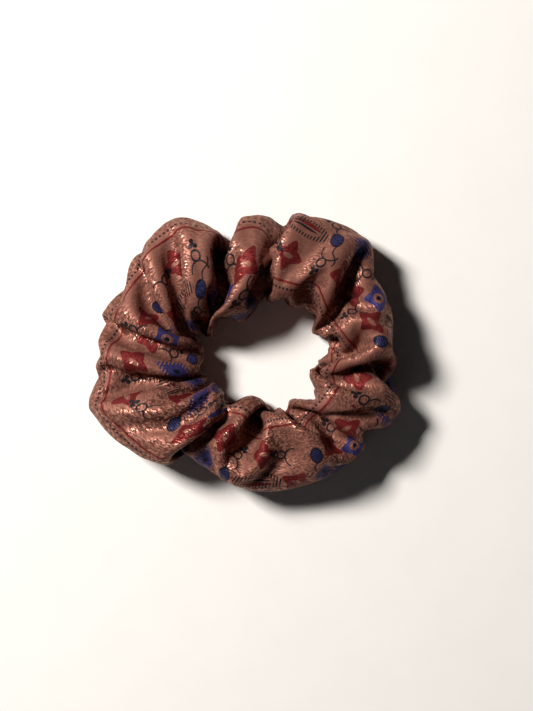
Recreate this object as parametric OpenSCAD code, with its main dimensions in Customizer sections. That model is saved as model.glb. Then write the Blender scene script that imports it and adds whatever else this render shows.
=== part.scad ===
// Scrunchie: a gathered satin tube on a lapped loop of flat braided elastic.
// It lies on z = 0 with the opening for the hair along Z, and its longer side along X.
// The ring stretches along X, so the tube of cloth is drawn as two halves: the half that
// is held and the half that is pulled. They meet at a hair's gap on both arms of the ring.

/* [Ring] */
// Overall length of the ring along X
ring_length = 112; // [104:1:126]
// Overall width of the ring along Y
ring_width = 102; // [96:1:116]
// Height of the gathered cover as it lies
ring_height = 28; // [24:1:34]
// Length of the opening along X
opening_length = 47; // [40:1:50]
// Width of the opening along Y
opening_width = 39; // [34:1:42]
// Shift of the opening's centre along X
opening_shift_x = 6; // [0:0.5:7]
// Shift of the opening's centre along Y
opening_shift_y = -2; // [-3:0.5:3]

/* [Gathers] */
// Puffs of cloth round the ring
gather_count = 16; // [12:4:24]
// How far the cloth pulls in between two puffs, as a share of the puff
gather_depth = 0.2; // [0.05:0.01:0.24]
// How unevenly the puffs are spaced, in degrees where one puff is 360
gather_wander = 60; // [0:5:90]
// Valley that holds the closing seam, counted from the +X end
closing_valley = -2; // [-4:1:3]

/* [Cloth] */
// Thickness of the gathered cloth wall
cloth_t = 0.5; // [0.4:0.05:0.7]
// Width of the long seam's allowance, turned to the inside
seam_allowance = 4; // [3:0.5:5]

/* [Elastic] */
// Width of the flat elastic
elastic_w = 6; // [5:0.5:8]
// Thickness of the flat elastic
elastic_t = 1.4; // [1.2:0.1:1.8]
// Distance from the edge of the opening to the elastic
elastic_inset = 11; // [10.5:0.5:12]
// Length of the lap where the elastic's ends are sewn
lap_length = 13; // [10:1:16]
// Rubber strands inside the braid
strand_count = 5; // [3:1:6]
// Side of a square-cut rubber strand
strand_side = 0.6; // [0.4:0.05:0.65]

/* [Sewing] */
// Diameter of the sewing thread
thread_d = 0.3; // [0.25:0.05:0.4]
// Length of one stitch of the long seam
stitch_length = 2.5; // [2:0.1:3]
// Length of one hand stitch of the closing seam
closing_stitch = 2.2; // [1.6:0.1:3]
// Hand stitches round the closing seam
closing_stitch_count = 26; // [16:1:32]

/* [Hidden] */

satin = [0.62, 0.43, 0.37];
braid_white = [0.88, 0.86, 0.82];
rubber_grey = [0.72, 0.69, 0.62];
thread_rose = [0.66, 0.46, 0.40];
thread_white = [0.92, 0.91, 0.88];

section_points = 20;      // points round the tube of cloth
rings_per_gather = 6;     // sections drawn for each puff
half_gap = 1;             // degrees from a half's end to the plane between the halves
tube_h = ring_height * 0.46;  // height of the tube's widest line
clearance = 0.04;         // air between a thread or the elastic and what it lies on
gather_pitch = 360 / gather_count;
closing_angle = (closing_valley + 0.5) * gather_pitch;

// ---- the ring's outline -------------------------------------------------------------

function outer_edge(a) = [ring_length / 2 * cos(a), ring_width / 2 * sin(a)];
function opening_edge(a, out = 0) =
    [opening_shift_x + (opening_length / 2 + out) * cos(a),
     opening_shift_y + (opening_width / 2 + out) * sin(a)];
function outward(a) = let (d = outer_edge(a) - opening_edge(a)) d / norm(d);
function middle(a) = (outer_edge(a) + opening_edge(a)) / 2;

// 1 on the crest of a puff, less in the valley between two puffs. The valley that holds
// the closing seam keeps its place and its full depth, and the others wander about it.
function puff(a) = let (
    from_seam = a - closing_angle,
    phase = gather_count * a + gather_wander * sin(3 * from_seam),
    share = 0.8 + 0.2 * cos(2 * from_seam))
    1 - gather_depth * share * (1 - cos(phase)) / 2;
function half_width(a) = norm(outer_edge(a) - opening_edge(a)) / 2 * puff(a);
function rise(a) = (ring_height - tube_h) * puff(a);

// A point of the tube at ring angle a. b goes round the tube: 0 at the opening, 90 on top.
function tube_point(a, b, inset = 0) =
    let (at = middle(a) - outward(a) * (half_width(a) - inset) * cos(b))
    [at.x, at.y, max(inset, tube_h + (rise(a) - inset) * sin(b))];

// A point in the tube, on the height of its widest line: in is its depth from the cloth.
function seam_point(a, in, up) =
    let (at = middle(a) - outward(a) * (half_width(a) - in)) [at.x, at.y, tube_h + up];

// ---- the cloth tube -----------------------------------------------------------------

function tube_angles() = [for (k = [1 : section_points - 1]) k * 360 / section_points];

// The outer skin's section, then the inner skin's, whose last three points and first one
// go round the seam allowance.
function skin_section(a) = [for (b = [0, each tube_angles()]) tube_point(a, b)];
function lining_section(a) = [
    seam_point(a, cloth_t, cloth_t),
    for (b = tube_angles()) tube_point(a, b, cloth_t),
    seam_point(a, cloth_t, -cloth_t),
    seam_point(a, cloth_t + seam_allowance, -cloth_t),
    seam_point(a, cloth_t + seam_allowance, cloth_t)
];

// Triangles of a skin of n points a ring; first is the number of its first point.
function skin_faces(first, n, rings, inside = false) = [
    for (r = [0 : rings - 2], k = [0 : n - 1])
        let (p = first + r * n + k, q = first + r * n + (k + 1) % n)
        each inside ? [[p, q, p + n], [q, q + n, p + n]] : [[q, p, p + n], [q + n, q, p + n]]
];

// Triangles that close the cloth's cut edge. s and l are the first points of the outer
// skin's ring and of the lining's ring there.
function edge_faces(s, l, flip) = let (
    n = section_points,
    low = l + n, tip_low = l + n + 1, tip_high = l + n + 2,
    faces = [
        for (k = [1 : n - 2]) each [[s + k, s + k + 1, l + k], [s + k + 1, l + k + 1, l + k]],
        [s, s + 1, l + 1], [s, l + 1, l], [s, l, low],
        [s, low, l + n - 1], [s, l + n - 1, s + n - 1],
        [l, tip_high, tip_low], [l, tip_low, low]
    ])
    [for (f = faces) flip ? [f[2], f[1], f[0]] : f];

module cloth_half(from, to) {
    rings = round((to - from) / gather_pitch * rings_per_gather) + 1;
    angles = [for (k = [0 : rings - 1]) from + (to - from) * k / (rings - 1)];
    n = section_points;
    m = n + 3;
    lining = rings * n;
    points = [for (a = angles) each skin_section(a), for (a = angles) each lining_section(a)];
    faces = [
        each skin_faces(0, n, rings),
        each skin_faces(lining, m, rings, inside = true),
        each edge_faces(0, lining, false),
        each edge_faces((rings - 1) * n, lining + (rings - 1) * m, true)
    ];
    polyhedron(points, faces, convexity = 8);
}

module cover_held_half() {
    color(satin) cloth_half(90 + half_gap, 270 - half_gap);
}

module cover_pulled_half() {
    color(satin) cloth_half(-90 + half_gap, 90 - half_gap);
}

// ---- the elastic --------------------------------------------------------------------

lap_angle = lap_length / (opening_width / 2 + elastic_inset) * 180 / PI;
lap_start = closing_angle - lap_angle / 2;
lap_turn = 360 + lap_angle;
lap_pitch = (elastic_t + 0.15) * lap_turn / 360;
band_sides = 100;

// The elastic's line is a spiral of a little over one turn, so that its ends lie on each
// other. side is the distance outward from the middle of its thickness.
function band_point(a, side) =
    opening_edge(a, elastic_inset + lap_pitch * (0.5 - (a - lap_start) / lap_turn) + side);

module band_outline(thick, past = 0) {
    angles = [for (k = [0 : band_sides]) lap_start - past + (lap_turn + 2 * past) * k / band_sides];
    polygon([
        for (a = angles) band_point(a, thick / 2),
        for (k = [band_sides : -1 : 0]) band_point(angles[k], -thick / 2)
    ]);
}

module elastic_braid() {
    wall = (elastic_t - strand_side) / 2 - clearance;
    color(braid_white) translate([0, 0, tube_h - elastic_w / 2]) difference() {
        linear_extrude(elastic_w) band_outline(elastic_t);
        translate([0, 0, wall]) linear_extrude(elastic_w - 2 * wall)
            band_outline(elastic_t - 2 * wall, past = 1);
    }
}

module elastic_rubber_strands() {
    step = (elastic_w - 2) / (strand_count - 1);
    color(rubber_grey)
        for (k = [0 : strand_count - 1])
            translate([0, 0, tube_h + (k - (strand_count - 1) / 2) * step - strand_side / 2])
                linear_extrude(strand_side) band_outline(strand_side);
}

// ---- the sewing thread --------------------------------------------------------------

thread_sides = 6;

// A round thread that follows a line of points
module thread_along(line) {
    n = thread_sides;
    last = len(line) - 1;
    points = [
        for (k = [0 : last]) let (
            step = line[min(k + 1, last)] - line[max(k - 1, 0)],
            along = step / norm(step),
            aside = cross([0.31, 0.17, 1], along),
            across = aside / norm(aside),
            up = cross(along, across))
            for (j = [0 : n - 1]) let (t = j * 360 / n)
                line[k] + (across * cos(t) + up * sin(t)) * thread_d / 2
    ];
    faces = [
        for (k = [0 : last - 1], j = [0 : n - 1])
            let (p = k * n + j, q = k * n + (j + 1) % n)
            each [[q, p, p + n], [q + n, q, p + n]],
        [for (j = [0 : n - 1]) j],
        [for (j = [n - 1 : -1 : 0]) last * n + j]
    ];
    polyhedron(points, faces, convexity = 8);
}

// A zigzag of machine stitches on each face of the lap. The lap's outer face is the
// spiral's start, and its inner face is the spiral's end.
module elastic_lap_stitches() {
    zigs = 9;
    points_per_zig = 3;
    reach = elastic_w / 2 - 0.8;
    off = elastic_t / 2 + thread_d / 2 + 3 * clearance;
    margin = lap_angle * 0.12;
    steps = zigs * points_per_zig;
    color(thread_white)
        for (face = [0, 1])
            thread_along([
                for (k = [0 : steps]) let (
                    a = lap_start + 360 * face + margin + (lap_angle - 2 * margin) * k / steps,
                    wave = 1 - 4 * abs(k / points_per_zig / 2 - floor(k / points_per_zig / 2) - 0.5),
                    p = band_point(a, face == 0 ? off : -off))
                    [p.x, p.y, tube_h + wave * reach]
            ]);
}

seam_from = closing_angle + 2;
seam_turn = 356;
seam_length = PI * (opening_length + opening_width) / 2 * 1.25;
points_per_stitch = 3;
seam_steps = floor(seam_length / stitch_length) * points_per_stitch;

// The thread's line on one face of the seam allowance: down on the cloth where two
// stitches meet, and a little off it between. side is 1 above the allowance, -1 below it.
function seam_thread_point(k, side) = let (
    low = cloth_t + thread_d / 2 + clearance,
    up = k % points_per_stitch == 0 ? low : low + thread_d * 0.4)
    seam_point(seam_from + seam_turn * k / seam_steps, cloth_t + seam_allowance / 3, side * up);

module long_seam_needle_thread() {
    color(thread_rose) thread_along([for (k = [0 : seam_steps]) seam_thread_point(k, 1)]);
}

module long_seam_bobbin_thread() {
    color(thread_rose) thread_along([for (k = [0 : seam_steps]) seam_thread_point(k, -1)]);
}

// Slanting hand stitches over the joint of the tube's ends, all round the tube
module closing_seam_thread() {
    points_per_slant = 4;
    steps = closing_stitch_count * 2 * points_per_slant;
    lift = thread_d / 2 + 10 * clearance;
    reach = closing_stitch / 2 / (ring_length / 2 - half_width(closing_angle)) * 180 / PI;
    color(thread_rose)
        thread_along([
            for (k = [0 : steps - 1]) let (
                phase = k / points_per_slant / 2,
                wave = 1 - 4 * abs(phase - floor(phase) - 0.5))
                tube_point(closing_angle + wave * reach, 360 * k / steps, -lift)
        ]);
}

cover_held_half();
cover_pulled_half();
elastic_braid();
elastic_rubber_strands();
elastic_lap_stitches();
long_seam_needle_thread();
long_seam_bobbin_thread();
closing_seam_thread();
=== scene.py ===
"""Looks of a gathered satin scrunchie on its elastic.

The cover is one tube of cloth. Its rough shape comes from a short table of ribs (crests
and valleys round the ring). A small cloth solver then lets the cloth grow part of the way
to its real length, least on the crests and at the opening, while it keeps off itself, off
the elastic and off the floor. So the ribs give the large folds and the cloth adds its own.
Lengths are in millimetres up to the point where a mesh is made.
"""
import math

import bpy
import numpy as np
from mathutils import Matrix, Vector

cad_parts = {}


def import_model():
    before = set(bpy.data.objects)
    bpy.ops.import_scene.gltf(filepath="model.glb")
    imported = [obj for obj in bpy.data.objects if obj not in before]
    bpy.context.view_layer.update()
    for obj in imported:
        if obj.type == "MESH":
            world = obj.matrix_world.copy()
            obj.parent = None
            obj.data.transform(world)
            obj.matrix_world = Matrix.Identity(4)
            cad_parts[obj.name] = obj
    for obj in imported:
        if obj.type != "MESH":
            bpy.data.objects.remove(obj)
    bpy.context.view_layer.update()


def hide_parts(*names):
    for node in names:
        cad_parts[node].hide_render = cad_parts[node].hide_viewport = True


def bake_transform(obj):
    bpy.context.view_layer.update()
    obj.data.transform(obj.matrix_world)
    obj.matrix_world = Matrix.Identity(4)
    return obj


MM = 0.001
FULL_TURN = 2 * math.pi
UP = np.array([0.0, 0.0, 1.0])

# ---- sizes ---------------------------------------------------------------------------

STRIP_LENGTH = 410.0        # cloth round the ring, before it is gathered
TUBE_ROUND = 102.0          # cloth round the tube
CLOTH_THICKNESS = 0.25
HOLE_CENTRE = np.array([6.0, -2.0])
FLOOR_GAP = 0.25            # cloth and the middles of threads stay this far off the floor
CLOSING_SEAM_ANGLE = -26.0

# the elastic is a flat band on edge, in a loop round the opening
ELASTIC_AXES = np.array([34.5, 30.5])
ELASTIC_HEIGHT = 12.9
LAP = 23.0                  # degrees of the loop where its two ends lie side by side
LAP_OFFSET = 0.85           # how far each end lies from the loop's middle line
BAND_HALF_HEIGHT = 3.0
BAND_HALF_THICKNESS = 0.62
BAND_RIBS = 13              # points up the braid's ribbed face
BAND_RIB_DEPTH = 0.08
STRAND_HEIGHTS = (-2, -1, 0, 1, 2)
STRAND_DIAMETER = 0.55

# ---- how the cloth settles -----------------------------------------------------------

ROWS, COLUMNS = 220, 40     # the coarse grid, round the ring and round the tube
UNEVENNESS = 0.05           # scatter of its first points
ELASTIC_CLEAR = 3.6         # cloth keeps this far from the elastic's middle line
TOP_LIMIT = 31.0            # cloth above this is pressed down
TOP_PUSH = 0.2
OUTER_SLACK = 0.5           # how far cloth may go past its rib at the outer edge
INNER_SLACK = 1.0           # and at the opening
INNER_RISE = 0.5            # how fast the limit at the opening rises beside a rib
OUTLINE_PUSH = 0.3
EDGE_HOLD = 2.0             # how much more the ring's two edges keep to their rough shape
OPENING_SHARE = 0.5         # how much less the cloth grows at the opening
CREST_SHARE = 0.5           # how much less it grows on the crests
RAMP = 0.7                  # share of the steps over which growth and memory change
KEPT_SPEED = 0.85
TOP_SPEED = 0.35            # in millimetres a step
WEIGHT = 0.004              # how far the cloth sinks at each step, left to itself
LOOK_REACH = 1.6            # other cloth is looked for within this many gaps
LINK_HOLD = 0.8             # share of a link's error put right at a time
SLANT_HOLD = 0.4
LONG_STRUT_REACH = 3.8      # a long strut spans 4 links, and lets them bend a little

# ---- ribs ----------------------------------------------------------------------------

# Ribs of the tube, counter-clockwise from +X: kind, angle at the outer edge, angle at the
# opening (degrees), reach of the outer edge, reach of the inner edge, top.
RIBS = [
    ("crest", 16, 15, 56, 24, 25),
    ("valley", 30, 25, 54, 21, 18),
    ("crest", 42, 43, 62, 22, 28),
    ("valley", 55, 60, 57, 20, 27),
    ("crest", 71, 78, 53, 19, 29),
    ("valley", 72, 83, 48, 23, 17),
    ("crest", 81, 114, 52, 10, 28),
    ("crest", 91, 167, 49, 13, 28),
    ("valley", 99, 147, 38, 20, 17),
    ("crest", 103, 150, 51, 22, 28),
    ("crest", 114, 157, 57, 26, 29),
    ("valley", 130, 162, 54, 26, 25),
    ("crest", 144, 167, 52, 27, 27),
    ("valley", 151, 169, 49, 26, 18),
    ("crest", 166, 175, 54, 25, 25),
    ("valley", 169, 178, 52, 25, 17),
    ("crest", 183, 193, 55, 22, 25),
    ("valley", 190, 193, 54, 22, 17),
    ("crest", 200, 203, 62, 21, 27),
    ("crest", 220, 212, 56, 19, 31),
    ("crest", 238, 221, 49, 18, 30),
    ("valley", 240, 233, 43, 21, 17),
    ("crest", 252, 260, 45, 11, 27),
    ("valley", 259, 267, 47, 19, 19),
    ("crest", 277, 273, 52, 19, 26),
    ("crest", 305, 288, 56, 20, 28),
    ("valley", 323, 300, 53, 22, 17),
    ("crest", 322, 305, 56, 19, 26),
    ("crest", 339, 341, 62, 18, 27),
    ("valley", 350, 350, 54, 22, 17),
    ("crest", 356, 355, 56, 22, 25),
    ("valley", 363, 365, 53, 25, 19),
]

# columns of the table as an array, where the kind becomes 1 on a crest and 0 in a valley
OUTER_ANGLE, INNER_ANGLE, OUTER_REACH, INNER_REACH, TOP, CREST = range(6)
BOTH_ANGLES = [OUTER_ANGLE, INNER_ANGLE]
CREST_FOOT = 0.4            # height of a crest's underside
VALLEY_LIFT = 3.0           # how much higher a valley's underside is
EDGE_SHARE = 0.85           # rows are spaced evenly along a line at this share of the reach
EDGE_PLACES = 4001          # places at which that line's length is measured

# ---- rough shape of the cover --------------------------------------------------------


def rib_table():
    """The ribs as an array, one row each."""
    return np.array([rib[1:] + (float(rib[0] == "crest"),) for rib in RIBS], float)


def rib_at(place):
    """The rib at each place, counted in ribs. Crests are round and valleys are narrow."""
    rows = rib_table()
    count = len(rows)
    first = np.floor(place).astype(int)
    share = (place - first)[:, None]
    a = rows[first % count].copy()
    b = rows[(first + 1) % count].copy()
    a[:, BOTH_ANGLES] += 360.0 * (first // count)[:, None]
    b[:, BOTH_ANGLES] += 360.0 * ((first + 1) // count)[:, None]
    on_crest = a[:, [CREST]] > 0.5
    from_crest = np.where(on_crest, share, 1 - share)
    fall = 1 - np.cos(from_crest * math.pi / 2)
    weight = np.where(on_crest, fall, 1 - fall)
    rib = a * (1 - weight) + b * weight
    rib[:, BOTH_ANGLES] = a[:, BOTH_ANGLES] * (1 - share) + b[:, BOTH_ANGLES] * share
    return rib


def directions(degrees):
    """Flat unit vectors at those angles."""
    a = np.radians(degrees)
    return np.stack([np.cos(a), np.sin(a)], 1)


def even_ribs(rows):
    """Ribs at that many places, evenly spaced along the cover's edge."""
    places = np.linspace(0, len(RIBS), EDGE_PLACES)
    ribs = rib_at(places)
    flat = EDGE_SHARE * ribs[:, [OUTER_REACH]] * directions(ribs[:, OUTER_ANGLE])
    edge = np.hstack([flat, ribs[:, [TOP]]])
    run = np.concatenate([[0], np.cumsum(np.linalg.norm(np.diff(edge, axis=0), axis=1))])
    return rib_at(np.interp(np.arange(rows) / rows * run[-1], run, places))


def rough_tube(rows, columns):
    """A grid of points, rows round the ring and columns round the tube from the opening."""
    ribs = even_ribs(rows)
    outer = ribs[:, [OUTER_REACH]] * directions(ribs[:, OUTER_ANGLE])
    inner = HOLE_CENTRE + ribs[:, [INNER_REACH]] * directions(ribs[:, INNER_ANGLE])
    low = CREST_FOOT + VALLEY_LIFT * (1 - ribs[:, CREST])
    turn = np.arange(columns) / columns * FULL_TURN
    grid = np.zeros((rows, columns, 3))
    middle, reach = (outer + inner) / 2, (outer - inner) / 2
    grid[..., :2] = middle[:, None] - reach[:, None] * np.cos(turn)[None, :, None]
    half_height = (ribs[:, TOP] - low) / 2
    grid[..., 2] = ((ribs[:, TOP] + low) / 2)[:, None] + half_height[:, None] * np.sin(turn)
    return grid


# ---- cloth solver --------------------------------------------------------------------


def neighbour(grid, along, across):
    """The grid's points that many steps along the ring and round the tube, in place."""
    return np.roll(np.roll(grid, -along, 0), -across, 1)


class Cloth:
    """A closed grid of cloth: links keep its lengths, and longer struts resist folding."""

    def __init__(self, grid, length, around, strut, long_strut):
        self.points = grid.copy()
        self.columns = grid.shape[1]
        self.rows = grid.shape[0]
        along, across = length / self.rows, around / self.columns
        slant = math.hypot(along, across)
        # steps along and across, flat length, share of a stretch and of a squeeze undone at
        # a time, and times in a row
        self.links = [
            (1, 0, along, LINK_HOLD, LINK_HOLD, 2),
            (0, 1, across, LINK_HOLD, LINK_HOLD, 2),
            (1, 1, slant, SLANT_HOLD, SLANT_HOLD, 2),
            (1, -1, slant, SLANT_HOLD, SLANT_HOLD, 2),
            (2, 0, 2 * along, 0.0, strut / 2, 1),
            (0, 2, 2 * across, 0.0, strut / 2, 1),
            (4, 0, LONG_STRUT_REACH * along, 0.0, long_strut / 2, 1),
            (0, 4, LONG_STRUT_REACH * across, 0.0, long_strut / 2, 1),
        ]
        self.first_lengths = [
            np.linalg.norm(neighbour(grid, i, j) - grid, axis=2) for i, j, *_ in self.links
        ]
        self.pairs = None

    def hold_lengths(self, grown):
        """Moves the points towards their links' lengths, part way from first to flat."""
        for (i, j, flat, pull, push, times), first in zip(self.links, self.first_lengths):
            wanted = first * (1 - grown) + flat * grown
            for _ in range(times):
                apart = neighbour(self.points, i, j) - self.points
                length = np.sqrt((apart * apart).sum(2)) + 1e-9
                error = (length - wanted) / length
                share = np.where(error > 0, pull, push)
                move = apart * (0.5 * share * error)[..., None]
                self.points += move - neighbour(move, -i, -j)

    def find_pairs(self, reach):
        """Finds points closer than reach that aren't neighbours in the cloth."""
        q = self.points.reshape(-1, 3)
        cell = np.floor((q - q.min(0)) / reach).astype(np.int64) + 1
        size = cell.max(0) + 2
        key = (cell[:, 0] * size[1] + cell[:, 1]) * size[2] + cell[:, 2]
        order = np.argsort(key, kind="stable")
        ordered = key[order]
        near = [
            (dx * size[1] + dy) * size[2] + dz
            for dx in (-1, 0, 1) for dy in (-1, 0, 1) for dz in (-1, 0, 1)
        ]
        found = []
        for step in near:
            if step < 0:
                continue
            low = np.searchsorted(ordered, key + step, "left")
            count = np.searchsorted(ordered, key + step, "right") - low
            total = count.sum()
            start = np.repeat(low - np.concatenate([[0], np.cumsum(count)[:-1]]), count)
            one = np.repeat(np.arange(len(q)), count)
            other = order[start + np.arange(total)]
            once = (one < other) if step == 0 else np.full(total, True)
            found.append((one[once], other[once]))
        one = np.concatenate([pair[0] for pair in found])
        other = np.concatenate([pair[1] for pair in found])
        rows_apart = np.abs(one // self.columns - other // self.columns)
        rows_apart = np.minimum(rows_apart, self.rows - rows_apart)
        columns_apart = np.abs(one % self.columns - other % self.columns)
        columns_apart = np.minimum(columns_apart, self.columns - columns_apart)
        apart = q[one] - q[other]
        use = (rows_apart > 2) | (columns_apart > 2)
        use &= (apart * apart).sum(1) < reach * reach
        self.pairs = (one[use], other[use])

    def part_pairs(self, gap):
        """Pushes the two points of each pair apart to gap."""
        one, other = self.pairs
        q = self.points.reshape(-1, 3)
        apart = q[one] - q[other]
        length = np.sqrt((apart * apart).sum(1)) + 1e-9
        short = np.clip(gap - length, 0, None)
        move = apart * (0.5 * short / length)[:, None]
        touching = (short > 0).astype(float)
        total = len(q)
        contacts = np.bincount(one, touching, total) + np.bincount(other, touching, total)
        push = np.stack([
            np.bincount(one, move[:, k], total) - np.bincount(other, move[:, k], total)
            for k in range(3)
        ], 1)
        q += push / np.maximum(1, contacts * 0.5)[:, None]


def around_table(angles, reaches):
    """A closed table of reach by angle, for np.interp over 0 to 360 degrees."""
    every = np.concatenate([angles - 360, angles, angles + 360])
    order = np.argsort(every, kind="stable")
    return every[order], np.tile(reaches, 3)[order]


class Surroundings:
    """Keeps cloth off the floor and the elastic, and inside the ring's outline."""

    def __init__(self):
        rows = rib_table()
        self.outer = around_table(rows[:, OUTER_ANGLE], rows[:, OUTER_REACH] + OUTER_SLACK)
        angles = np.arange(361)
        apart = np.abs((angles[:, None] - rows[None, :, INNER_ANGLE] + 180) % 360 - 180)
        nearest = (rows[None, :, INNER_REACH] + INNER_RISE * apart).min(1)
        self.inner = (angles, nearest - INNER_SLACK)

    def keep(self, points):
        """Moves the points out of all that they have gone into."""
        np.maximum(points[..., 2], FLOOR_GAP, out=points[..., 2])
        self.keep_off_elastic(points)
        flat = points[..., :2]
        self.keep_reach(flat, np.zeros(2), self.outer, 1)
        self.keep_reach(flat, HOLE_CENTRE, self.inner, -1)
        points[..., 2] -= TOP_PUSH * np.clip(points[..., 2] - TOP_LIMIT, 0, None)

    def keep_reach(self, flat, centre, table, side):
        """Moves points back from past the table's reach (side 1) or short of it (-1)."""
        apart = flat - centre
        reach = np.sqrt((apart * apart).sum(2)) + 1e-9
        angle = np.degrees(np.arctan2(apart[..., 1], apart[..., 0])) % 360
        over = np.clip(side * (reach - np.interp(angle, *table)), 0, None)
        flat -= side * apart * (OUTLINE_PUSH * over / reach)[..., None]

    def keep_off_elastic(self, points):
        """Moves points out of a round tube about the elastic's middle line."""
        apart = points[..., :2] - HOLE_CENTRE
        turn = np.arctan2(apart[..., 1] * ELASTIC_AXES[0], apart[..., 0] * ELASTIC_AXES[1])
        loop = ELASTIC_AXES * np.stack([np.cos(turn), np.sin(turn)], -1)
        off = np.concatenate([apart - loop, points[..., 2:] - ELASTIC_HEIGHT], 2)
        length = np.sqrt((off * off).sum(2)) + 1e-9
        short = np.clip(ELASTIC_CLEAR - length, 0, None)
        points += off * (short / length)[..., None]


def settle(cloth, steps, grown, memory, gap, look_every):
    """Lets the cloth move, and returns its points.

    grown is how far its links have grown from their first to their flat lengths, and memory
    is how strongly it keeps to its first shape: each is (first, last) over the steps. Cloth
    stays gap from other cloth, which is looked for anew at every look_every steps.
    """
    around = Surroundings()
    rough = cloth.points.copy()
    turn = np.arange(cloth.columns) / cloth.columns * FULL_TURN
    edge_hold = (1 + EDGE_HOLD * np.cos(turn) ** 8)[None, :, None]
    freedom = (1 - OPENING_SHARE * ((1 + np.cos(turn)) / 2) ** 2)[None, :]
    freedom = freedom * (1 - CREST_SHARE * even_ribs(cloth.rows)[:, [CREST]] ** 2)
    before = cloth.points.copy()
    for step in range(steps):
        share = min(1.0, (step + 1) / (steps * RAMP))
        length_share = grown[0] * (1 - share) + grown[1] * share
        hold = memory[0] * (1 - share) + memory[1] * share
        speed = (cloth.points - before) * KEPT_SPEED
        size = np.sqrt((speed * speed).sum(2, keepdims=True)) + 1e-9
        speed *= np.minimum(1, TOP_SPEED / size)
        before = cloth.points.copy()
        cloth.points += speed + (rough - cloth.points) * hold * edge_hold
        cloth.points[..., 2] -= WEIGHT
        for _ in range(2):
            cloth.hold_lengths(length_share * freedom)
        if step % look_every == 0:
            cloth.find_pairs(gap * LOOK_REACH)
        cloth.part_pairs(gap)
        around.keep(cloth.points)
    return cloth.points


def doubled(grid):
    """The same surface on a closed grid twice as fine each way."""
    def once(q):
        between = (9 * (q + np.roll(q, -1, 0)) - np.roll(q, 1, 0) - np.roll(q, -2, 0)) / 16
        out = np.empty((2 * len(q),) + q.shape[1:])
        out[0::2], out[1::2] = q, between
        return out
    return once(once(grid).transpose(1, 0, 2)).transpose(1, 0, 2)


def gathered_tube():
    """Settles the cover on the coarse grid, and then lets it crease on one twice as fine."""
    rough = rough_tube(ROWS, COLUMNS)
    rough += np.random.default_rng(7).normal(0, UNEVENNESS, rough.shape)
    coarse = settle(
        Cloth(rough, STRIP_LENGTH, TUBE_ROUND, strut=1.0, long_strut=1.6),
        steps=700,
        grown=(0, 0.72),
        memory=(0.05, 0.006),
        gap=2.0,
        look_every=8,
    )
    return settle(
        Cloth(doubled(coarse), STRIP_LENGTH, TUBE_ROUND, strut=0.35, long_strut=0.1),
        steps=90,
        grown=(0.4, 0.4),
        memory=(0.0, 0.0),
        gap=1.1,
        look_every=6,
    )


# ---- meshes --------------------------------------------------------------------------


def surface_normals(grid):
    """Unit normals of the closed grid, pointing out of the tube."""
    along = neighbour(grid, 1, 0) - neighbour(grid, -1, 0)
    across = neighbour(grid, 0, 1) - neighbour(grid, 0, -1)
    normal = np.cross(across, along)
    return normal / np.linalg.norm(normal, axis=2, keepdims=True)


def new_object(name, points, faces, material):
    """A smooth mesh object from points in millimetres."""
    mesh = bpy.data.meshes.new(name)
    mesh.from_pydata((np.asarray(points) * MM).tolist(), [], faces)
    mesh.shade_smooth()
    mesh.materials.append(material)
    thing = bpy.data.objects.new(name, mesh)
    bpy.context.scene.collection.objects.link(thing)
    return thing


def grid_faces(rows, columns):
    """Quads of a grid that is closed both ways, turned so that they face outward."""
    i, j = np.meshgrid(np.arange(rows), np.arange(columns), indexing="ij")
    k, m = (i + 1) % rows, (j + 1) % columns
    quads = np.stack([i * columns + j, i * columns + m, k * columns + m, k * columns + j], -1)
    return quads.reshape(-1, 4)


def cover_mesh(grid, material):
    """The cover, with a UV map in metres of flat cloth."""
    rows, columns = grid.shape[:2]
    faces = grid_faces(rows, columns).tolist()
    cover = new_object("satin_cover", grid.reshape(-1, 3), faces, material)
    i, j = np.meshgrid(np.arange(rows), np.arange(columns), indexing="ij")
    corners = np.stack([
        np.stack([i, j], -1), np.stack([i, j + 1], -1),
        np.stack([i + 1, j + 1], -1), np.stack([i + 1, j], -1),
    ], 2).reshape(-1, 2)
    scale = np.array([STRIP_LENGTH / rows, TUBE_ROUND / columns]) * MM
    cloth_map = cover.data.uv_layers.new(name="cloth")
    cloth_map.data.foreach_set("uv", (corners * scale).ravel())
    skin = cover.modifiers.new("thickness", "SOLIDIFY")
    skin.thickness = CLOTH_THICKNESS * MM
    skin.offset = -1
    return cover


def swept(name, path, outline, material, closed=False):
    """A bar whose outline, (aside, up) pairs in millimetres, follows the path's points."""
    path = np.asarray(path, float)
    step = np.roll(path, -1, 0) - np.roll(path, 1, 0)
    if not closed:
        step[0], step[-1] = path[1] - path[0], path[-1] - path[-2]
    step /= np.linalg.norm(step, axis=1, keepdims=True)
    aside = np.cross(step, UP)
    aside /= np.linalg.norm(aside, axis=1, keepdims=True)
    rise = np.cross(aside, step)
    outline = np.asarray(outline, float)
    sides = len(outline)
    points = path[:, None] + aside[:, None] * outline[:, :1] + rise[:, None] * outline[:, 1:]
    count = len(path)
    faces = []
    for i in range(count if closed else count - 1):
        for j in range(sides):
            a, b = i * sides, ((i + 1) % count) * sides
            k = (j + 1) % sides
            faces.append((a + j, a + k, b + k, b + j))
    if not closed:
        faces.append(tuple(range(sides))[::-1])
        faces.append(tuple(range((count - 1) * sides, count * sides)))
    return new_object(name, points.reshape(-1, 3), faces, material)


def round_outline(diameter):
    """A hexagon, which is round enough for a thread."""
    turn = np.arange(6) / 6 * FULL_TURN
    return np.stack([np.cos(turn), np.sin(turn)], 1) * diameter / 2


# ---- shader arithmetic ---------------------------------------------------------------


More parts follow.
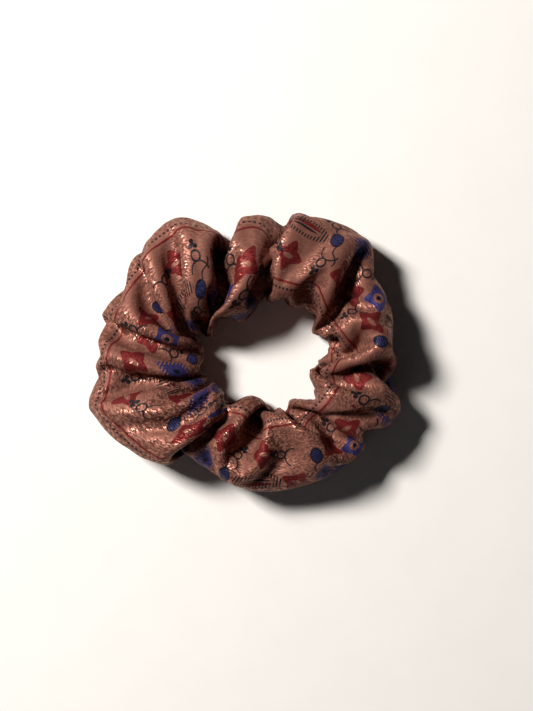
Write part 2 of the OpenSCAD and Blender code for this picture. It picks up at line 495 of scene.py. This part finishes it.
class Number:
    """A number in a shader tree. Arithmetic on it adds Math nodes."""

    def __init__(self, tree, socket):
        self.tree = tree
        self.socket = socket

    def use(self, operation, *others, clamp=False):
        node = self.tree.nodes.new("ShaderNodeMath")
        node.operation = operation
        node.use_clamp = clamp
        for slot, given in zip(node.inputs, (self,) + others):
            if isinstance(given, Number):
                self.tree.links.new(given.socket, slot)
            else:
                slot.default_value = given
        return Number(self.tree, node.outputs[0])

    def __add__(self, other):
        return self.use("ADD", other)

    def __sub__(self, other):
        return self.use("SUBTRACT", other)

    def __mul__(self, other):
        return self.use("MULTIPLY", other)

    def __truediv__(self, other):
        return self.use("DIVIDE", other)

    def __abs__(self):
        return self.use("ABSOLUTE")

    def __or__(self, other):
        return self.use("MAXIMUM", other)

    def __and__(self, other):
        return self.use("MINIMUM", other)

    def wrapped(self, low, high):
        return self.use("WRAP", high, low)

    def from_tile_middle(self, pitch):
        """Distance from the middle of the repeat it falls in."""
        return abs(self.use("FLOORED_MODULO", pitch) - pitch / 2)

    def inside(self, edge=0.0, soft=0.16):
        """1 where the number is below edge and 0 above it, with a soft border."""
        return (self * (-1 / soft)).use("ADD", 0.5 + edge / soft, clamp=True)

    def invert(self):
        return (self * -1) + 1


def length_of(x, y):
    """Distance of a place from the origin."""
    return (x * x + y * y).use("SQRT")


def moved(x, y, at, degrees):
    """x and y measured from a point, turned by an angle."""
    dx, dy = x - at[0], y - at[1]
    c, s = math.cos(math.radians(degrees)), math.sin(math.radians(degrees))
    return dx * c + dy * s, dy * c - dx * s


# ---- print on the satin --------------------------------------------------------------
# A generic folk flower print. Each motif returns masks that are 1 on its own colour.


def blossom(x, y, reach):
    """Four pointed petals, as a distance that is below 0 inside."""
    petal = abs((y.use("ARCTAN2", x) * 2).use("COSINE"))
    edge = (petal * 0.2 + 0.58) + petal.use("POWER", 7) * 0.22
    return length_of(x, y) - edge * reach


def oval(x, y, half_x, half_y):
    """Distance from an oval in shares of its size: 1 on its line."""
    return length_of(x / half_x, y / half_y)


def red_flower(x, y, reach):
    eye = oval(x - 0.3, y + 0.2, reach * 0.34, reach * 0.16).inside(1.0, 0.25)
    return blossom(x, y, reach).inside() & eye.invert()


def blue_flower(x, y, reach):
    middle = length_of(x, y)
    ring = middle.inside(reach * 0.36) & middle.inside(reach * 0.16).invert()
    return blossom(x, y, reach).inside() & ring.invert(), middle.inside(reach * 0.16)


def sprig(x, y):
    """A curl on a bent stem, with three leaves."""
    curl = abs(length_of(x, y) - 1.65).inside(0.36)
    stem = abs(length_of(x, y + 5.0) - 3.4).inside(0.28) & (y * -1).inside(5.0)
    lx, ly = x, y - 3.6
    leaf_reach = abs((lx.use("ARCTAN2", ly) * 1.5).use("COSINE")) * 1.5 + 0.5
    leaves = (length_of(lx, ly) - leaf_reach).inside()
    return curl | stem | leaves


def berry(x, y):
    """A hatched berry on a wavy stem: its hatching and its dark lines."""
    body = oval(x, y, 2.1, 2.9)
    hatch = (x * 0.6 + y).from_tile_middle(0.9).inside(0.24)
    stem = abs(x - (y * 0.9).use("SINE") * 0.7).inside(0.28)
    stem = stem & abs(y - 6.5).inside(4.0)
    rim = abs(body - 1).inside(0.12, 0.08)
    return body.inside(1.0, 0.08), (body.inside(1.0, 0.08) & hatch) | stem | rim


def lozenge(x, y):
    """A fringed lozenge: its blue and its dark middle."""
    size = abs(x) / 3.6 + abs(y) / 5.4
    fringe = size.inside(1.5, 0.05) & y.from_tile_middle(1.2).inside(0.32)
    return size.inside(1.0, 0.05) | fringe, size.inside(0.3, 0.06)


def feather(x, y):
    """A striped leaf: its red half and its dark ticks."""
    size = oval(x, y, 7.5, 2.9)
    ticks = x.from_tile_middle(1.15).inside(0.27)
    fringe = size.inside(1.3, 0.06) & size.inside(0.86, 0.06).invert() & ticks
    vein = oval(x, y + 0.3, 5.2, 0.5).inside(1.0, 0.3)
    red = size.inside(0.84, 0.06) & (y * -1).inside(-0.6)
    return red, fringe | vein | (red & ticks & (x * -1).inside(-1.0))


BORDER_RED = 6.3            # the red line's distance from the border's middle
BORDER_DOTS = 3.7           # the row of dots' distance
BORDER_HALF = 8.0           # the flowers begin at this distance
REPEAT = 84.0               # one repeat of the flowers; the strip isn't a whole number of them
PRINT_START = 50.0          # place in the repeat where the closing seam cuts the print
PAIR_REACH = 5.9            # reach of the flowers that stand in a pair
FLOWER_REACH = 5.7          # reach of the other flowers


def border(along, across):
    """Red lines, rows of dots and a ladder of dashes: masks of red, dark and brown."""
    off = abs(across)
    red = abs(off - BORDER_RED).inside(0.42)
    dots = length_of(along.from_tile_middle(1.75), off - BORDER_DOTS).inside(0.52)
    ladder = along.from_tile_middle(2.3).inside(0.42) & off.inside(1.7)
    return red, dots, ladder


# Places in one repeat of the flowers: x, y from the border's edge, and turn in degrees.
# Besides these, a pair of red flowers stands about a blue one at PAIR_MIDDLE.
PAIR_MIDDLE = 21
RED_FLOWERS = [(42.5, 8.0, 65), (66.0, 7.5, 10), (78.0, 22.5, 40), (49.5, 33.5, 30)]
SPRIGS = [(21.0, 6.6, 180), (53.0, 8.0, 200), (74.0, 10.0, 110), (54.0, 25.5, 300)]
LOZENGES = [(41.5, 22.5, -10), (8.0, 33.0, 60), (66.0, 30.0, 80), (4.5, 24.0, 15)]
FEATHERS = [(64.0, 19.5, 12), (24.0, 32.5, 170), (76.0, 36.0, 110)]
BERRIES = [(51.5, 18.0, 165), (4.5, 12.0, 20), (38.0, 35.0, 230), (33.5, 28.0, 100)]


def flowers(x, y):
    """One repeat of the flowers: masks of red, blue and dark."""
    half = abs(x - PAIR_MIDDLE)
    fx, fy = moved(half, y, (8.0, 11.0), 24)
    red = red_flower(fx, fy, PAIR_REACH)
    for *place, turn in RED_FLOWERS:
        fx, fy = moved(x, y, place, turn)
        red = red | red_flower(fx, fy, FLOWER_REACH)
    fx, fy = moved(x, y, (PAIR_MIDDLE, 18.6), 28)
    blue, dark = blue_flower(fx, fy, FLOWER_REACH)
    fx, fy = moved(half, y, (10.4, 20.6), 40)
    dark = dark | sprig(fx, fy)
    for *place, turn in SPRIGS:
        fx, fy = moved(x, y, place, turn)
        dark = dark | sprig(fx, fy)
    for *place, turn in LOZENGES:
        fx, fy = moved(x, y, place, turn)
        more_blue, more_dark = lozenge(fx, fy)
        blue, dark = blue | more_blue, dark | more_dark
    for *place, turn in FEATHERS:
        fx, fy = moved(x, y, place, turn)
        more_red, more_dark = feather(fx, fy)
        red, dark = red | more_red, dark | more_dark
    for *place, turn in BERRIES:
        fx, fy = moved(x, y, place, turn)
        more_blue, more_dark = berry(fx, fy)
        blue, dark = blue | more_blue, dark | more_dark
    return red, blue, dark


# ---- materials -----------------------------------------------------------------------

GROUND = (0.38, 0.168, 0.128)
GROUND_DEEP = (0.105, 0.037, 0.028)
PRINT_RED = (0.11, 0.006, 0.009)
PRINT_BLUE = (0.022, 0.026, 0.12)
PRINT_DARK = (0.003, 0.008, 0.014)
PRINT_BROWN = (0.13, 0.045, 0.03)
THREAD_WIDTH = 0.44         # in millimetres
FLOAT_LENGTH = 0.95         # a float is a thread's length between two places where it dips
FLOAT_SHIFT = 0.37          # each thread's floats start this share of one further on
THREAD_TILT = 0.5           # from the steepest falling to the steepest rising float
THREAD_CROWN = 0.06         # how round a thread is
CREASE_WIDTH = 7
CREASE_LENGTH = 30
CREASE_HEIGHT = 0.35

# Where the print's border runs: angle at the outer edge, place round the tube in mm from
# the opening over the top. The printed cloth turns on the elastic from one to the other.
BORDER_RUN = [
    (0, 12), (40, 10), (70, 10), (82, 46), (100, 46), (200, 46), (229, 46), (247, 12),
    (258, 11), (300, 11), (335, 13),
]


def length_at(angles):
    """Cloth length from the first rib, as a share of the strip, at outer-edge angles."""
    columns = 4
    outer = rough_tube(720, columns)[:, columns // 2]
    at = np.degrees(np.arctan2(outer[:, 1], outer[:, 0]))
    at = np.maximum.accumulate(np.unwrap(at, period=360))
    share = np.arange(len(at)) / len(at)
    wanted = (np.asarray(angles, float) - at[0]) % 360 + at[0]
    return np.interp(wanted, at, share)


def new_material(name):
    """A material, its shader tree and its Principled shader."""
    material = bpy.data.materials.new(name)
    material.use_nodes = True
    return material, material.node_tree, material.node_tree.nodes["Principled BSDF"]


def mixed(tree, factor, first, second):
    """Colour first where factor is 0 and second where it is 1."""
    node = tree.nodes.new("ShaderNodeMix")
    node.data_type = "RGBA"
    tree.links.new(factor.socket, node.inputs["Factor"])
    for slot, colour in ((node.inputs[6], first), (node.inputs[7], second)):
        if isinstance(colour, tuple):
            slot.default_value = (*colour, 1)
        else:
            tree.links.new(colour, slot)
    return node.outputs[2]


def cloth_place(tree):
    """Place on the flat cloth in millimetres, along the strip and round the tube."""
    place = tree.nodes.new("ShaderNodeUVMap")
    place.uv_map = "cloth"
    split = tree.nodes.new("ShaderNodeSeparateXYZ")
    tree.links.new(place.outputs[0], split.inputs[0])
    along = Number(tree, split.outputs[0]) * (1 / MM)
    across = Number(tree, split.outputs[1]) * (1 / MM)
    return along, across


def noise(tree, scale, detail=2.0):
    """Noise in the object's own space, with that many cells a metre."""
    place = tree.nodes.new("ShaderNodeTexCoord")
    node = tree.nodes.new("ShaderNodeTexNoise")
    node.inputs["Scale"].default_value = scale
    node.inputs["Detail"].default_value = detail
    tree.links.new(place.outputs["Object"], node.inputs["Vector"])
    return Number(tree, node.outputs["Fac"])


def thread_value(tree, x, y):
    """A number from 0 to 1 that differs for each whole x and y."""
    pair = tree.nodes.new("ShaderNodeCombineXYZ")
    tree.links.new(x.socket, pair.inputs[0])
    tree.links.new(y.socket, pair.inputs[1])
    node = tree.nodes.new("ShaderNodeTexWhiteNoise")
    node.noise_dimensions = "2D"
    tree.links.new(pair.outputs[0], node.inputs["Vector"])
    return Number(tree, node.outputs["Value"])


def creased(tree, along, across):
    """Soft creases that run round the tube, as a height from 0 to 1."""
    pair = tree.nodes.new("ShaderNodeCombineXYZ")
    tree.links.new((along / CREASE_WIDTH).socket, pair.inputs[0])
    tree.links.new((across / CREASE_LENGTH).socket, pair.inputs[1])
    node = tree.nodes.new("ShaderNodeTexNoise")
    node.inputs["Scale"].default_value = 1.0
    node.inputs["Detail"].default_value = 0.5
    tree.links.new(pair.outputs[0], node.inputs["Vector"])
    return Number(tree, node.outputs["Fac"])


def border_place(tree, along):
    """The border's place round the tube in mm, for each place along the strip."""
    node = tree.nodes.new("ShaderNodeFloatCurve")
    curve = node.mapping.curves[0]
    shares = length_at([angle for angle, _ in BORDER_RUN])
    dots = sorted(zip(shares, (place / TUBE_ROUND for _, place in BORDER_RUN)))
    ends = (dots[0][1] + dots[-1][1]) / 2
    curve.points[0].location = (0, ends)
    curve.points[1].location = (1, ends)
    for x, y in dots:
        if 0.01 < x < 0.99:
            curve.points.new(x, y)
    for point in curve.points:
        point.handle_type = "AUTO_CLAMPED"
    node.mapping.update()
    tree.links.new((along / STRIP_LENGTH).socket, node.inputs["Value"])
    return Number(tree, node.outputs[0]) * TUBE_ROUND


def satin_material(seam_at):
    """The printed cloth. The print starts and ends at the closing seam."""
    material, tree, shader = new_material("printed_satin")
    along, across = cloth_place(tree)
    from_border = (across - border_place(tree, along)).wrapped(-TUBE_ROUND / 2, TUBE_ROUND / 2)
    border_red, border_dots, ladder = border(along, from_border)
    x = (along - seam_at).wrapped(0, STRIP_LENGTH) + PRINT_START
    x = x.use("FLOORED_MODULO", REPEAT)
    red, blue, dark = flowers(x, abs(from_border) - BORDER_HALF)
    on_field = abs(from_border).inside(BORDER_HALF, 0.02).invert()
    red = (red & on_field) | border_red
    dark = (dark & on_field) | border_dots
    blue = blue & on_field

    # satin floats: each short length of thread has its own tint, gloss and tilt
    thread = (across / THREAD_WIDTH).use("FLOOR")
    shifted = along + thread * (FLOAT_LENGTH * FLOAT_SHIFT)
    own = thread_value(tree, (shifted / FLOAT_LENGTH).use("FLOOR"), thread)
    crown = across.from_tile_middle(THREAD_WIDTH) / THREAD_WIDTH
    tilt = shifted.use("FLOORED_MODULO", FLOAT_LENGTH) * (own - 0.5) * THREAD_TILT
    tint = noise(tree, 90, 3)
    creases = creased(tree, along, across) * CREASE_HEIGHT

    ground = mixed(tree, tint * 0.25 + own * own * 0.85, GROUND_DEEP, GROUND)
    colour = mixed(tree, ladder * 0.8, ground, PRINT_BROWN)
    colour = mixed(tree, red * 0.93, colour, PRINT_RED)
    colour = mixed(tree, blue * 0.93, colour, PRINT_BLUE)
    colour = mixed(tree, dark * 0.95, colour, PRINT_DARK)
    tree.links.new(colour, shader.inputs["Base Color"])

    rough = own * own * own * -0.4 + 0.6
    tree.links.new(rough.socket, shader.inputs["Roughness"])
    bump = tree.nodes.new("ShaderNodeBump")
    bump.inputs["Strength"].default_value = 1.0
    bump.inputs["Distance"].default_value = MM
    height = tilt - crown * THREAD_CROWN + creases
    tree.links.new(height.socket, bump.inputs["Height"])
    tree.links.new(bump.outputs[0], shader.inputs["Normal"])
    shader.inputs["Metallic"].default_value = 0.4
    shader.inputs["Specular IOR Level"].default_value = 0.2
    shader.inputs["Specular Tint"].default_value = (1.0, 0.76, 0.6, 1)
    return material


def thread_material(name, light, deep):
    """Twisted sewing thread or braid: fine noise in colour and height."""
    material, tree, shader = new_material(name)
    grain = noise(tree, 3000, 2)
    tree.links.new(mixed(tree, grain, deep, light), shader.inputs["Base Color"])
    tree.links.new((grain * 0.2 + 0.5).socket, shader.inputs["Roughness"])
    bump = tree.nodes.new("ShaderNodeBump")
    bump.inputs["Distance"].default_value = 0.0001
    tree.links.new(grain.socket, bump.inputs["Height"])
    tree.links.new(bump.outputs[0], shader.inputs["Normal"])
    return material


def floor_material():
    material, tree, shader = new_material("pale_floor")
    grain = noise(tree, 60, 3)
    colour = mixed(tree, grain, (0.80, 0.80, 0.79), (0.84, 0.84, 0.83))
    tree.links.new(colour, shader.inputs["Base Color"])
    shader.inputs["Roughness"].default_value = 0.8
    return material


# ---- scene ---------------------------------------------------------------------------


def joined_to_halves(thing, slot, *nodes):
    """Bakes the piece's placement into its mesh, and hides the model's nodes that it stands
    for.
    """
    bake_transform(thing)
    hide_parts(*nodes)


def elastic_point(angle, side, up=0.0):
    """A point of the elastic's loop: side is how far outward from its middle line."""
    a = np.radians(angle)
    return np.stack([
        HOLE_CENTRE[0] + (ELASTIC_AXES[0] + side) * np.cos(a),
        HOLE_CENTRE[1] + (ELASTIC_AXES[1] + side) * np.sin(a),
        np.full_like(a, ELASTIC_HEIGHT) + up,
    ], -1)


def add_elastic():
    """The braided band, the rubber in it, and the zigzags that join its ends."""
    braid = thread_material("elastic_braid", (0.78, 0.76, 0.72), (0.6, 0.58, 0.54))
    rubber = thread_material("rubber", (0.6, 0.56, 0.48), (0.5, 0.46, 0.4))
    white = thread_material("white_thread", (0.85, 0.84, 0.8), (0.7, 0.69, 0.65))
    turn = np.linspace(CLOSING_SEAM_ANGLE - LAP / 2, CLOSING_SEAM_ANGLE + 360 + LAP / 2, 260)
    drift = LAP_OFFSET - 2 * LAP_OFFSET * (turn - turn[0]) / (turn[-1] - turn[0])
    line = elastic_point(turn, drift)
    ribs = np.linspace(-BAND_HALF_HEIGHT, BAND_HALF_HEIGHT, BAND_RIBS)
    wave = BAND_HALF_THICKNESS + BAND_RIB_DEPTH * (np.arange(BAND_RIBS) % 2)
    outline = np.concatenate([np.stack([wave, ribs], 1), np.stack([-wave, ribs], 1)[::-1]])
    band = swept("elastic_band", line, outline[::-1], braid)
    joined_to_halves(band, "braid", "elastic_braid")
    strands = [
        swept("strand", line + up * UP, round_outline(STRAND_DIAMETER), rubber)
        for up in STRAND_HEIGHTS
    ]
    joined_to_halves(join("elastic_strands", strands), "rubber", "elastic_rubber_strands")
    half_turn = 0.4 * LAP
    half_height = 2.2
    points, points_each = 46, 10
    aside = 1.8
    outline = round_outline(0.3)
    turn = np.linspace(CLOSING_SEAM_ANGLE - half_turn, CLOSING_SEAM_ANGLE + half_turn, points)
    up = half_height * (1 - 4 * np.abs((np.arange(points) / points_each) % 1 - 0.5))
    zigzags = [
        swept("zigzag", elastic_point(turn, side, up), outline, white)
        for side in (aside, -aside)
    ]
    stitches = join("elastic_stitches", zigzags)
    joined_to_halves(stitches, "white_thread", "elastic_lap_stitches")


def join(name, things):
    """Joins meshes into the first of them."""
    bpy.ops.object.select_all(action="DESELECT")
    for thing in things:
        thing.select_set(True)
    bpy.context.view_layer.objects.active = things[0]
    bpy.ops.object.join()
    things[0].name = name
    things[0].data.name = name
    return things[0]


def on_cloth(grid, along, across, lift):
    """Points on the cover at cloth places in mm, lifted off it along its normals."""
    rows, columns = grid.shape[:2]
    normals = surface_normals(grid)
    i = np.asarray(along) / STRIP_LENGTH * rows
    j = np.asarray(across) / TUBE_ROUND * columns
    i0, j0 = np.floor(i).astype(int), np.floor(j).astype(int)
    s, t = (i - i0)[:, None], (j - j0)[:, None]

    def pick(table):
        a = table[i0 % rows, j0 % columns] * (1 - t) + table[i0 % rows, (j0 + 1) % columns] * t
        b = table[(i0 + 1) % rows, j0 % columns] * (1 - t)
        b = b + table[(i0 + 1) % rows, (j0 + 1) % columns] * t
        return a * (1 - s) + b * s

    points = pick(grid) + pick(normals) * np.reshape(lift, (-1, 1))
    np.maximum(points[:, 2], FLOOR_GAP, out=points[:, 2])
    return points


def add_threads(grid, seam_at):
    """The two threads of the long seam and the closing seam's stitches, as a list."""
    rose = thread_material("rose_thread", (0.3, 0.13, 0.1), (0.2, 0.085, 0.065))
    pieces = []
    stitch_length = 2.5
    points_each = 4
    steps = int(STRIP_LENGTH / stitch_length) * points_each
    along = np.arange(steps) / steps * STRIP_LENGTH
    from_seam = 0.5
    depth = 0.6
    lift = 0.15 * np.cos(np.arange(steps) / points_each * FULL_TURN) - depth
    for name, across, node in (
        ("long_seam_needle", from_seam, "long_seam_needle_thread"),
        ("long_seam_bobbin", TUBE_ROUND - from_seam, "long_seam_bobbin_thread"),
    ):
        line = on_cloth(grid, along, np.full(steps, across), lift)
        piece = swept(name, line, round_outline(0.28), rose, closed=True)
        joined_to_halves(piece, "rose_thread", node)
        pieces.append(piece)
    stitches = 36
    points_each = 6
    half_width = 0.5
    steps = stitches * points_each
    slant = 1 - 4 * np.abs(np.arange(steps) / points_each % 1 - 0.5)
    lift = 0.05 + 0.15 * (1 - slant * slant)
    across = np.arange(steps) / steps * TUBE_ROUND
    line = on_cloth(grid, seam_at + half_width * slant, across, lift)
    closing = swept("closing_seam_stitches", line, round_outline(0.25), rose, closed=True)
    joined_to_halves(closing, "rose_thread", "closing_seam_thread")
    pieces.append(closing)
    return pieces


def with_seams(grid, seam_at):
    """Presses the long seam's groove and the closing seam's lapped edge into the cloth."""
    rows, columns = grid.shape[:2]
    along = np.arange(rows)[:, None] / rows * STRIP_LENGTH
    across = np.arange(columns)[None, :] / columns * TUBE_ROUND
    from_seam = np.minimum(across, TUBE_ROUND - across)
    groove_depth, groove_width = 0.5, 1.1
    groove = -groove_depth * np.exp(-((from_seam / groove_width) ** 2))
    past = (along - seam_at + STRIP_LENGTH / 2) % STRIP_LENGTH - STRIP_LENGTH / 2
    edge_height, edge_width = 0.8, 5.0
    lapped = edge_height * np.exp(-((past / edge_width) ** 2)) * (past < 0)
    pressed = grid + surface_normals(grid) * (groove + lapped)[..., None]
    np.maximum(pressed[..., 2], FLOOR_GAP, out=pressed[..., 2])
    return pressed


def add_light(name, place, aim, size, power, colour):
    """A square lamp at a place in metres, aimed at another."""
    lamp = bpy.data.lights.new(name, "AREA")
    lamp.size = size
    lamp.energy = power
    lamp.color = colour
    thing = bpy.data.objects.new(name, lamp)
    thing.location = place
    thing.rotation_euler = (Vector(aim) - Vector(place)).to_track_quat("-Z", "Y").to_euler()
    bpy.context.scene.collection.objects.link(thing)


def add_studio():
    """A pale floor, a warm key light from the far left and a faint fill."""
    bpy.ops.mesh.primitive_plane_add(size=12, location=(0, 0, 0))
    floor = bpy.context.object
    floor.name = "floor"
    floor.data.materials.append(floor_material())
    world = bpy.data.worlds.new("studio")
    bpy.context.scene.world = world
    world.use_nodes = True
    background = world.node_tree.nodes["Background"]
    background.inputs["Color"].default_value = (1, 0.98, 0.96, 1)
    background.inputs["Strength"].default_value = 0.016
    add_light(
        "key", place=(-0.75, 0.48, 0.93), aim=(0, 0, 0.01), size=0.28, power=29.0,
        colour=(1, 0.94, 0.88),
    )
    add_light(
        "fill", place=(-0.3, -0.5, 0.4), aim=(0, 0, 0), size=0.5, power=0.12,
        colour=(1, 1, 1),
    )


def add_camera():
    """A camera that looks straight down."""
    camera = bpy.data.cameras.new("camera")
    camera.lens = 85
    camera.sensor_width = 36
    thing = bpy.data.objects.new("camera", camera)
    thing.location = (0.0081, -0.0018, 0.630)
    bpy.context.scene.collection.objects.link(thing)
    bpy.context.scene.camera = thing


def main():
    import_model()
    seam_at = float(length_at([CLOSING_SEAM_ANGLE])[0]) * STRIP_LENGTH
    grid = with_seams(gathered_tube(), seam_at)
    cover = cover_mesh(grid, satin_material(seam_at))
    joined_to_halves(cover, "satin", "cover_held_half", "cover_pulled_half")
    threads = add_threads(grid, seam_at)
    add_elastic()
    add_studio()
    add_camera()
    bpy.context.scene.view_settings.view_transform = "Standard"


main()
